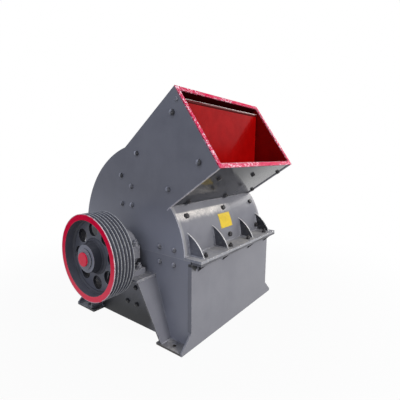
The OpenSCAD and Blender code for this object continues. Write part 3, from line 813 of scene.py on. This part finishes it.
def steel(name, rough, gain):
    """Bare steel with rub marks, dull patches and brown film in the hollows."""
    t = Look(name)
    broad, fine = t.base(3.0, rgba(t.col.steel, gain), rgba(t.col.steel, gain * 0.72))
    t.edges(0.003, 1.0)
    film = t.chips(9.0, 0.75)
    t.over((0.16, 0.1, 0.06), film * 0.35)
    t.over(t.col.steel, t.bare)
    return t.finish(t.blend(broad, rough, rough + 0.15), (0.3, 0.001, fine),
                    t.blend(film, 0.9, 0.45))


def shaft():
    """Turned steel with fine rings round it, its belt end painted red."""
    t = Look("Shaft steel")
    broad, fine = t.base(4.0, t.col.steel, rgba(t.col.steel, 0.78))
    t.edges(0.003, 0.8)
    end = t.xyz()[0] < SHAFT_END_X
    chips = t.chips(60.0, 0.25)
    t.over(t.mix(chips * 0.6, rgba(t.col.red, 1.35), (0.8, 0.45, 0.48)), end)
    turned = t.noise(1.0, 3.0, 0.5, t.stretched(900.0, 4.0, 4.0))
    return t.finish(t.blend(broad, 0.3, 0.45), (0.2, 0.0005, turned), 0.95 - end * 0.95, 0.3)


def label():
    """Glossy yellow enamel, scuffed."""
    t = Look("Label enamel")
    broad, fine = t.base(6.0, t.col.label, rgba(t.col.label, 0.86))
    t.over((0.35, 0.3, 0.2), t.chips(55.0, 0.35) * 0.4)
    return t.finish(t.blend(broad, 0.3, 0.42), (0.15, 0.0005, fine))


def stem(node):
    """The node's name without its side, because both sides share a finish."""
    sides = ("left", "right", "front", "rear")
    return "_".join(word for word in node.split("_") if word not in sides)


def finishes(col):
    """Makes the finishes, and gives them by the stem of a node and by material slot."""
    grey, chalk = partial(rgba, col.enamel), partial(rgba, col.enamel_pale)
    bolt = {"radius": 0.0016, "grain": 5.0}
    enamel("Bolt enamel", rough=0.3, wear=0.85, dust=0.2, **bolt)
    # Side bolts: crowns pale as a painted highlight, front flanks and the low bolts dark as painted shade.
    enamel("Side bolt enamel", greasy_low, dark=chalk(), pale=chalk(2.5), rough=0.22, wear=0.85,
           dust=0.2, **bolt)
    # Bolts of the chute, cover, shell and flanges near black: painted shade.
    enamel("Bolt black", dark=(0.013, 0.012, 0.014), pale=(0.03, 0.028, 0.03), rough=0.3,
           wear=0.45, dust=0.1, **bolt)
    # Wheel fillets darker than the plates: painted shade in the corners of the webs.
    enamel("Fillet enamel", dark=grey(0.434), pale=grey(0.62), rough=0.42, peel=0.45, wear=0.0,
           dust=0.1, grain=2.0, shine=0.3)
    # Weld beads with a paler mottle: painted glints on their ripples.
    enamel("Weld enamel", pale=chalk(1.25), rough=0.26, wear=0.8, radius=0.001, dust=0.3,
           grain=4.0)
    return {
        # Plates, with painted shadow under the flanges' ends.
        "plate_paint": enamel("Plate enamel", corner_soot),
        # Castings: their faces along the shaft near black, painted shade behind the wheels.
        "cast_paint": enamel(
            "Casting enamel", edge_faces(0, True, (0.01, 0.01, 0.011), 0.95), rough=0.45,
            peel=0.6, wear=0.35, radius=0.006, grain=2.4),
        "wheel_paint": enamel("Wheel enamel", pulley_paint, rough=0.4, peel=0.45, wear=0.95,
                              radius=0.003, dust=0.15, grain=2.0, shine=0.04),
        "shaft_steel": shaft(),
        "rim_red": rim(),
        # Side liners darker than the flap: painted shade inside the chute.
        "liner_red": inside("Liner oxide", 0.72, 0.06),
        "flap_red": inside("Flap oxide", 0.95, 0.3, flap=True),
        "rod_steel": enamel("Rod enamel", wear=1.0, radius=0.002, grain=6.0),
        "rotor_steel": steel("Rotor plate", 0.48, 0.62),
        "hammer_steel": steel("Cast hammer steel", 0.6, 0.42),
        "sieve_steel": steel("Sieve steel", 0.5, 0.5),
        "label_yellow": label(),
        "upper_side": enamel("Side enamel", side_lines, dark=grey(0.93), pale=chalk(0.93)),
        "lower_side": enamel("Low side enamel", side_grease),
        # The chute's underside darker than the plates: painted shade.
        "chute_floor": enamel(
            "Underside enamel", underside_film, dark=grey(0.217), pale=grey(0.434), rough=0.4,
            peel=0.06, runs=0.05, shine=0.05, coat_rough=0.07),
        "cover": enamel("Cover enamel", cover_dust, dark=grey(0.9), pale=chalk(0.95),
                        rough=0.3, peel=0.18, dust=0.1),
        # Gussets darker than the plates as painted shade, their narrow faces pale as painted light, and more
        # painted shade on their faces towards the pulley.
        "gussets": enamel(
            "Gusset enamel", edge_faces(0, False, (0.5, 0.5, 0.51), 0.85), gusset_shade,
            dark=grey(0.62), pale=grey(), wear=1.1, radius=0.004),
        # Lower gussets near black: painted shade under the flange.
        "lower_gussets": enamel("Low gusset enamel", dark=grey(0.0744), pale=grey(0.186)),
        # The upper flange paler than the plates, its narrow faces paler still: painted light, with dust on its
        # top.
        "upper_flange": enamel(
            "Flange enamel", edge_faces(2, False, (0.26, 0.27, 0.29), 0.5), dark=chalk(),
            pale=chalk(1.15), wear=1.2, radius=0.003, dust=0.45),
        # The lower flange darker: painted shade under the upper one.
        "lower_flange": enamel("Low flange enamel", dark=grey(0.31), pale=grey(0.62), wear=0.9,
                               radius=0.003),
        # Narrow faces of the stand's top plate paler: painted light on its edges.
        "stand_top": enamel("Stand enamel", edge_faces(2, False, (0.3, 0.31, 0.33), 0.3),
                            wear=1.3, radius=0.004, dust=0.15),
        "stand_legs": enamel(
            "Leg enamel", edge_faces(0, True, (0.022, 0.022, 0.024), 0.9, with_grime_and_shade=True)),
        # Feet: dirt on their narrow faces, grime and painted contact shade near the floor, and painted shadow
        # towards the rear.
        "foot_plates": enamel(
            "Foot enamel", edge_faces(2, False, (0.04, 0.034, 0.028), 0.9, with_grime_and_shade=True),
            rear_oil, dark=chalk(), dust=0.6),
        # The roof liner near black: painted shade over the red primer.
        "roof_liner": inside("Roof liner shade", 0.08, 0.1),
    }


class CRUSHER_OT_paint(bpy.types.Operator):
    """Makes the finishes and paints the frame's plates, castings and rotor with them."""

    bl_idname = "crusher.paint"
    bl_label = "Paint the frame"

    def execute(self, context):
        for name, (build, inputs) in EFFECTS.items():
            new_group(name, build, inputs)
        looks = finishes(context.scene.crusher_colours)
        for part in frame["record"]["subparts"]:
            materials = frame["nodes"][part["node"]].data.materials
            materials.clear()
            materials.append(looks.get(stem(part["node"]), looks[part["material_slot"]]))
        return {"FINISHED"}


# ---- fastenings


class CRUSHER_OT_plate_bolts(bpy.types.Operator):
    """Bolts that hold the liners to the side plates, the chute, the cover and the shell."""

    bl_idname = "crusher.plate_bolts"
    bl_label = "Liner bolts"

    def execute(self, context):
        hw = context.scene.crusher_hardware
        left = np.column_stack([np.full(len(SIDE_BOLTS), -SIDE_X), SIDE_BOLTS])
        side = joined([repeated(crowned_head(hw, 1.15), left[:2], [-1.0, 0, 0]),
                       repeated(crowned_head(hw), left[2:], [-1.0, 0, 0])])
        new_pair("side_bolts", side, "Side bolt enamel")

        small = bolt_shape(hw, washer=False, size=SMALL_BOLT)
        for name, base, along, out, spots in (
                ("floor_bolts", LIP - OUT_FLOOR * FLOOR_SINK, IN_FLOOR, OUT_FLOOR, FLOOR_BOLTS),
                ("roof_bolts", CREST, IN_ROOF, OUT_ROOF, ROOF_BOLTS)):
            places = [base + along * s + [x, 0, 0] for x, s in spots]
            new_piece(name, repeated(small, places, out), "Bolt black")

        # On the round walls, in rows at angles from +Y up about the wall's centre
        cover_rows = [math.pi - math.asin((z - SHAFT_Z) / COVER_R) for z in (0.93, 0.716)]
        for name, centre, radius, rows, xs in (
                ("cover_bolts", SHAFT, COVER_R, cover_rows, (-0.467, 0.015, 0.48)),
                ("shell_bolts", REAR_CENTRE, REAR_R, np.radians([12, 32, 52, 70]),
                 (-0.467, 0.0, 0.467))):
            normals = np.array([[0, math.cos(a), math.sin(a)] for a in rows for _ in xs])
            places = centre + normals * radius
            places[:, 0] = [*xs] * len(rows)
            shape = repeated(bolt_shape(hw, washer=False), places, normals)
            new_piece(name, shape, "Bolt black")
        return {"FINISHED"}


class CRUSHER_OT_flange_bolts(bpy.types.Operator):
    """Bolts and nuts that hold the two halves of the housing together."""

    bl_idname = "crusher.flange_bolts"
    bl_label = "Flange bolts"

    def execute(self, context):
        hw = context.scene.crusher_hardware
        y = END_Y + 0.035
        above, below = ([[x, s, z] for s in (-y, y) for x in FLANGE_BOLT_X]
                        for z in (FLANGE_TOP, FLANGE_BOTTOM))
        nuts = repeated(bolt_shape(hw, 0.014, size=SMALL_BOLT), above, [0, 0, 1.0])
        heads = repeated(bolt_shape(hw, size=SMALL_BOLT), below, [0, 0, -1.0])
        new_piece("flange_bolts", joined([nuts, heads]), "Bolt black")
        return {"FINISHED"}


class CRUSHER_OT_bearing_bolts(bpy.types.Operator):
    """Cap studs on their bosses, and foot bolts, of the two bearings."""

    bl_idname = "crusher.bearing_bolts"
    bl_label = "Bearing bolts"

    def execute(self, context):
        hw = context.scene.crusher_hardware
        xs = high("bearing_cap_left")[0] - 0.028, low("bearing_cap_left")[0] + 0.028
        caps, feet, under = ([[x, y, z] for x in xs for y in (-out, out)] for out, z in (
            (0.15, SHAFT_Z + 0.054), (0.186, STAND_Z + 0.046), (0.186, STAND_UNDER_Z)))
        boss = stacked([(0.027, -0.012), (0.025, 0.0)], hw.sides)
        studs = bolt_shape(hw, stud_out=0.016)
        left = [repeated(shape, places, [0, 0, way]) for shape, places, way in (
            (boss, caps, 1.0), (studs, caps, 1.0), (studs, feet, 1.0),
            (bolt_shape(hw), under, -1.0))]
        new_pair("bearing_bolts", joined(left), "Bolt enamel", "cast_paint")
        return {"FINISHED"}


# ---- wheels


def fillet(r0, h0, r1, h1, steps=8):
    """Closed profile of a hollow fillet in the corner (r0, h0), which reaches r1 along the
    radius and h1 along the height: a quarter of an ellipse about (r1, h1), and the corner."""
    t = np.linspace(0, math.pi / 2, steps)
    arc = np.column_stack([r1 + (r0 - r1) * np.cos(t), h1 + (h0 - h1) * np.sin(t)])
    return np.vstack([arc, [[r0 - (r1 - r0) * 0.02, h0 - (h1 - h0) * 0.02]]])


class CRUSHER_OT_wheels(bpy.types.Operator):
    """Cast fillets where the webs of the pulley and the flywheel meet their hubs and rims."""

    bl_idname = "crusher.wheels"
    bl_label = "Cast fillets"

    def execute(self, context):
        for name, x_dir, front, rim_t in (
                ("pulley_fillets", -1.0, -PULLEY_FACE_X - PULLEY_WEB_IN, PULLEY_RIM),
                ("flywheel_fillets", 1.0, FLYWHEEL_FACE_X - FLYWHEEL_WEB_IN, FLYWHEEL_RIM)):
            rim_r = PULLEY_R - rim_t
            rings = []
            for h, way in ((front, 1.0), (front - WEB_T, -1.0)):
                rings.append(fillet(HUB_R, h, HUB_R + 0.02, h + way * 0.026))
                rings.append(fillet(rim_r, h, rim_r - 0.016, h + way * 0.018))
            shape = joined([turned_ring(ring, x_dir) for ring in rings])
            new_piece(name, shape, "Fillet enamel", "wheel_paint", "rotor", crease=60.0)
        return {"FINISHED"}


# ---- welds


def gusset_welds(bead):
    """Both sides of each gusset, along the round wall and along the flange."""
    tip_z = high("front_gussets")[2] - 0.004
    toe = -low("front_gussets")[1] - 0.003
    for centre, radius, s in WALLS:
        foot, top = (math.asin((z - centre[2]) / radius) for z in (FLANGE_TOP, tip_z))
        a = np.linspace(foot, top, 24)
        normal = np.column_stack([0 * a, s * np.cos(a), np.sin(a)])
        wall_y = centre[1] + s * radius * math.cos(foot)
        for x, side in GUSSET_FACES:
            yield bead(centre + [x, 0, 0] + normal * radius, normal, [side, 0, 0], 1.4, 1.3)
            path = [[x, wall_y, FLANGE_TOP], [x, s * toe, FLANGE_TOP]]
            yield bead(path, [0, 0, 1], [side, 0, 0], 1.3, 1.3)


def flange_welds(bead):
    """Under the flanges: the lower gussets and the flange itself to the end plates."""
    z = FLANGE_BOTTOM
    for s in (-1.0, 1.0):
        y = s * END_Y
        for x, side in GUSSET_FACES:
            yield bead([[x, y, z - 0.066], [x, y, z]], [0, s, 0], [side, 0, 0], 0.8)
        yield bead([[-SIDE_X, y, z], [SIDE_X, y, z]], [0, s, 0], [0, 0, -1], 0.9)


def chute_welds(bead):
    """The chute floor to the side plates and the cover, and the feet of cover and shell."""
    sunk, half = OUT_FLOOR * FLOOR_SINK, np.array([INNER_X, 0, 0])
    for side in (-1.0, 1.0):
        path = [LIP - sunk + side * half + IN_FLOOR * RIM_D, FLOOR_END - sunk + side * half]
        yield bead(path, OUT_FLOOR, [-side, 0, 0], 0.9)
    for centre, radius, s in WALLS:
        y = centre[1] + s * math.sqrt(radius ** 2 - (FLANGE_TOP - centre[2]) ** 2)
        path = [[-INNER_X, y, FLANGE_TOP], [INNER_X, y, FLANGE_TOP]]
        yield bead(path, [0, s, 0], [0, 0, 1])
    join = FLOOR_END - OUT_FLOOR * 0.002
    yield bead([join - half, join + half], OUT_FLOOR, [0, -0.55, -0.83], 0.9)


def stand_welds(bead):
    """The left stand's legs to the side plate, the top plate and the feet, and the feet and
    the top plate to the side plate."""
    x, top = -SIDE_X, STAND_UNDER_Z
    toward, up = [-1, 0, 0], [0, 0, 1]
    for s in (-1.0, 1.0):
        out = np.array([0, (top - FOOT_Z) * s, LEG_FOOT_Y - LEG_TOP_Y])
        y_top, y_foot, leg_t = s * LEG_TOP_Y, s * LEG_FOOT_Y, s * LEG_T
        toe, heel = s * FOOT_OUTER_Y, s * FOOT_INNER_Y
        for path, side_a, side_b, size in (
                ([[x, y_top, top], [x, y_foot, FOOT_Z]], out, toward, 0.6),
                ([[x, y_top - leg_t, top], [x, y_foot - leg_t, FOOT_Z]], -out, toward, 1.0),
                ([[-0.757, y_top, top], [x, y_top, top]], [0, s, 0], [0, 0, -1], 0.5),
                ([[-0.684, y_foot, FOOT_Z], [x, y_foot, FOOT_Z]], [0, s, 0], up, 1.0),
                ([[x, heel, FOOT_Z], [x, toe, FOOT_Z]], up, toward, 1.0),
                ([[-0.69, toe, FOOT_Z], [x, toe, FOOT_Z]], up, [0, -s, 0], 1.0)):
            yield bead(path, side_a, side_b, size)
    yield bead([[x, -0.28, STAND_Z], [x, 0.28, STAND_Z]], up, toward)


class CRUSHER_OT_welds(bpy.types.Operator):
    """Weld beads along the gussets, the flanges, the chute, the cover and the stands."""

    bl_idname = "crusher.welds"
    bl_label = "Weld beads"

    def execute(self, context):
        sizes = context.scene.crusher_welds

        def bead(path, side_a, side_b, size=1.0, pitch=1.0):
            return bead_shape(path, side_a, side_b, sizes.leg * size, sizes.ripple * pitch)

        for make, place in ((gusset_welds, new_piece), (flange_welds, new_piece),
                            (chute_welds, new_piece), (stand_welds, new_pair)):
            place(make.__name__, joined(make(bead)), "Weld enamel", crease=50.0)
        return {"FINISHED"}


# ---- stage

WHITE = (1.0, 1.0, 1.0, 1.0)
WARM, COOL = (1.0, 0.975, 0.93), (0.72, 0.79, 1.0)


def make_floor(scene, st):
    """A pale floor, plainer white to the camera near the machine, and dark under it."""
    size, z = 30.0, -0.0005
    mesh = bpy.data.meshes.new("floor")
    corners = [(-size, -size, z), (size, -size, z), (size, size, z), (-size, size, z)]
    mesh.from_pydata(corners, [], [(0, 1, 2, 3)])
    floor = bpy.data.objects.new("floor", mesh)
    scene.collection.objects.link(floor)
    mesh.materials.append(bpy.data.materials.new("Pale floor"))
    t = Tree(mesh.materials[0])
    veil = t.vector("LENGTH", t.place()).ramp(1.0, 3.4).scaled(1.0 - st.veil, st.veil)
    x, y, z = map(abs, t.xyz())
    reach = (y > 0.4).scaled(0.105, SIDE_X - 0.01)
    under = (x < reach) * (y < 0.6)
    seen = t.seen() | t.add("LightPath", out="Is Glossy Ray") * 0.9
    shade = t.add("BsdfDiffuse", {"Color": rgba([st.floor] * 3)})
    white = t.add("Emission", {"Color": WHITE})
    mixed = t.add("MixShader", {0: veil * (1.0 - under) * seen, 1: shade, 2: white})
    t.new("OutputMaterial", {0: mixed})


def make_world(scene, st):
    """White to the camera, and soft blue light on the machine."""
    scene.world = bpy.data.worlds.new("studio")
    t = Tree(scene.world)
    light = t.add("Background", {"Color": (0.87, 0.9, 1.0, 1.0), "Strength": st.sky})
    plain = t.add("Background", {"Color": WHITE})
    mixed = t.add("MixShader", {0: t.seen(), 1: light, 2: plain})
    t.new("OutputWorld", {0: mixed})


class CRUSHER_OT_stage(bpy.types.Operator):
    """Pale floor, soft light and the camera."""

    bl_idname = "crusher.stage"
    bl_label = "Stage"

    def execute(self, context):
        scene = context.scene
        st = scene.crusher_stage
        make_floor(scene, st)
        make_world(scene, st)
        for name, place, aim, size, power, tint in (
                ("key", (0.0, -5.5, 3.2), (0.0, -0.6, 0.8), 2.0, st.key, WARM),
                ("rear", (-4.4, 2.8, 3.7), (-0.6, 0.0, 0.8), 0.7, st.rear, COOL),
                ("top", (-4.8, 0.4, 8.0), (-0.4, 0.0, 0.8), 1.2, st.top, COOL),
                ("fill", (-4.6, -2.6, 1.0), (-0.5, 0.0, 0.6), 2.2, st.fill, COOL),
                ("glint", (3.8, -2.0, 3.3), (0.0, -0.5, 0.95), 1.6, st.glint, WARM),
                ("back", (0.8, 4.2, 3.8), (0.0, 0.2, 0.9), 3.5, 2.0 * st.fill, COOL)):
            lamp = bpy.data.lights.new(name, "AREA")
            lamp.shape, lamp.size, lamp.energy, lamp.color = "DISK", size, power, tint
            light = bpy.data.objects.new(name, lamp)
            scene.collection.objects.link(light)
            light.location = place
            light.visible_glossy = name != "key"
            way = Vector(aim) - Vector(place)
            light.rotation_euler = way.to_track_quat("-Z", "Y").to_euler()
        camera = bpy.data.objects.new("camera", bpy.data.cameras.new("camera"))
        scene.collection.objects.link(camera)
        camera.location = st.eye
        yaw, tilt, roll = (Matrix.Rotation(turn, 3, axis) for turn, axis in (
            (st.yaw, "Z"), (math.pi / 2 + st.pitch, "X"), (st.roll, "Z")))
        camera.rotation_euler = (yaw @ tilt @ roll).to_euler()
        camera.data.sensor_width = 36.0
        camera.data.lens = st.lens
        camera.data.clip_end = 200.0
        scene.camera = camera
        scene.view_settings.view_transform = "Standard"
        return {"FINISHED"}


# ---- panel and run

GROUPS = {"crusher_colours": CrusherColours, "crusher_hardware": CrusherHardware,
          "crusher_welds": CrusherWelds, "crusher_stage": CrusherStage}
STEPS = [CRUSHER_OT_paint, CRUSHER_OT_plate_bolts, CRUSHER_OT_flange_bolts,
         CRUSHER_OT_bearing_bolts, CRUSHER_OT_wheels, CRUSHER_OT_welds, CRUSHER_OT_stage]


class CRUSHER_PT_panel(bpy.types.Panel):
    """Sizes and colours, and a button for each step."""

    bl_idname = "CRUSHER_PT_panel"
    bl_label = "Hammer crusher"
    bl_space_type = "VIEW_3D"
    bl_region_type = "UI"
    bl_category = "Crusher"

    def draw(self, context):
        for name, group in GROUPS.items():
            box = self.layout.box()
            box.label(text=group.__doc__)
            for prop in group.__annotations__:
                box.prop(getattr(context.scene, name), prop)
        for step in STEPS:
            self.layout.operator(step.bl_idname)


CLASSES = [*GROUPS.values(), *STEPS, CRUSHER_PT_panel]


def register():
    for cls in CLASSES:
        bpy.utils.register_class(cls)
    for name, group in GROUPS.items():
        setattr(bpy.types.Scene, name, PointerProperty(type=group))


def unregister():
    for name in GROUPS:
        delattr(bpy.types.Scene, name)
    for cls in CLASSES[::-1]:
        bpy.utils.unregister_class(cls)


def main():
    register()
    for step in STEPS:
        getattr(bpy.ops.crusher, step.bl_idname.split(".")[1])()


if __name__ == "__main__":
    main()
